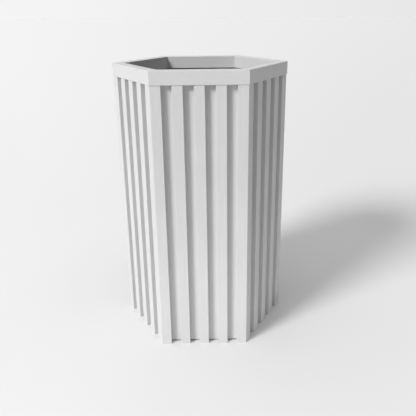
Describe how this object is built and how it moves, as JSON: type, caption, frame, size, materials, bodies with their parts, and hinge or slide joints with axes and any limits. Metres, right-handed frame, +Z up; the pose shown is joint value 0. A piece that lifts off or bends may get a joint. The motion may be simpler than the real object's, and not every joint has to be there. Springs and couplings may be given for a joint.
{
  "type": "slatted litter bin",
  "caption": "Tall free-standing hexagonal litter bin with proud vertical slats, a plain mitred rim and a lift-out sheet metal liner with a bail handle.",
  "frame": {"origin": "middle of the footprint, on the floor", "axes": "+Z up; the front face looks towards -Y; two corners of the hexagon lie on the X axis"},
  "size_m": [0.4034, 0.3494, 0.64],
  "materials": {
    "white_lacquer": "smooth matt white lacquer on dense board",
    "birch_ply": "bare birch plywood",
    "zinc_screws": "zinc plated",
    "galvanised_sheet": "hot-dip galvanised, matt",
    "rivet_steel": "zinc plated",
    "zinc_wire": "galvanised wire",
    "grip_plastic": "moulded, fine matt grain"
  },
  "bodies": {
    "housing": {"corner_post_right": "white_lacquer", "corner_post_back_right": "white_lacquer", "corner_post_back_left": "white_lacquer", "corner_post_left": "white_lacquer", "corner_post_front_left": "white_lacquer", "corner_post_front_right": "white_lacquer", "panel_front": "white_lacquer", "slat_front_1": "white_lacquer", "slat_front_2": "white_lacquer", "slat_front_3": "white_lacquer", "rim_rail_front": "white_lacquer", "base_cleat_front": "white_lacquer", "panel_front_right": "white_lacquer", "slat_front_right_1": "white_lacquer", "slat_front_right_2": "white_lacquer", "slat_front_right_3": "white_lacquer", "rim_rail_front_right": "white_lacquer", "base_cleat_front_right": "white_lacquer", "panel_back_right": "white_lacquer", "slat_back_right_1": "white_lacquer", "slat_back_right_2": "white_lacquer", "slat_back_right_3": "white_lacquer", "rim_rail_back_right": "white_lacquer", "base_cleat_back_right": "white_lacquer", "panel_back": "white_lacquer", "slat_back_1": "white_lacquer", "slat_back_2": "white_lacquer", "slat_back_3": "white_lacquer", "rim_rail_back": "white_lacquer", "base_cleat_back": "white_lacquer", "panel_back_left": "white_lacquer", "slat_back_left_1": "white_lacquer", "slat_back_left_2": "white_lacquer", "slat_back_left_3": "white_lacquer", "rim_rail_back_left": "white_lacquer", "base_cleat_back_left": "white_lacquer", "panel_front_left": "white_lacquer", "slat_front_left_1": "white_lacquer", "slat_front_left_2": "white_lacquer", "slat_front_left_3": "white_lacquer", "rim_rail_front_left": "white_lacquer", "base_cleat_front_left": "white_lacquer", "base_board": "white_lacquer", "rim_splines": "birch_ply", "base_screws": "zinc_screws"},
    "liner": {"liner_wall": "galvanised_sheet", "liner_floor": "galvanised_sheet", "bail_ear_front": "galvanised_sheet", "bail_ear_back": "galvanised_sheet", "ear_rivets": "rivet_steel"},
    "bail": {"bail_wire": "zinc_wire", "bail_grip": "grip_plastic"}
  },
  "joints": [
    {"name": "liner_lift", "type": "slide", "parent": "housing", "child": "liner", "axis": [0, 0, 1], "range_m": [0, 0.62]},
    {"name": "bail_swing", "type": "hinge", "parent": "liner", "child": "bail", "pos_m": [0, 0, 0.5888], "axis": [0, -1, 0], "range_deg": [0, 180]}
  ]
}
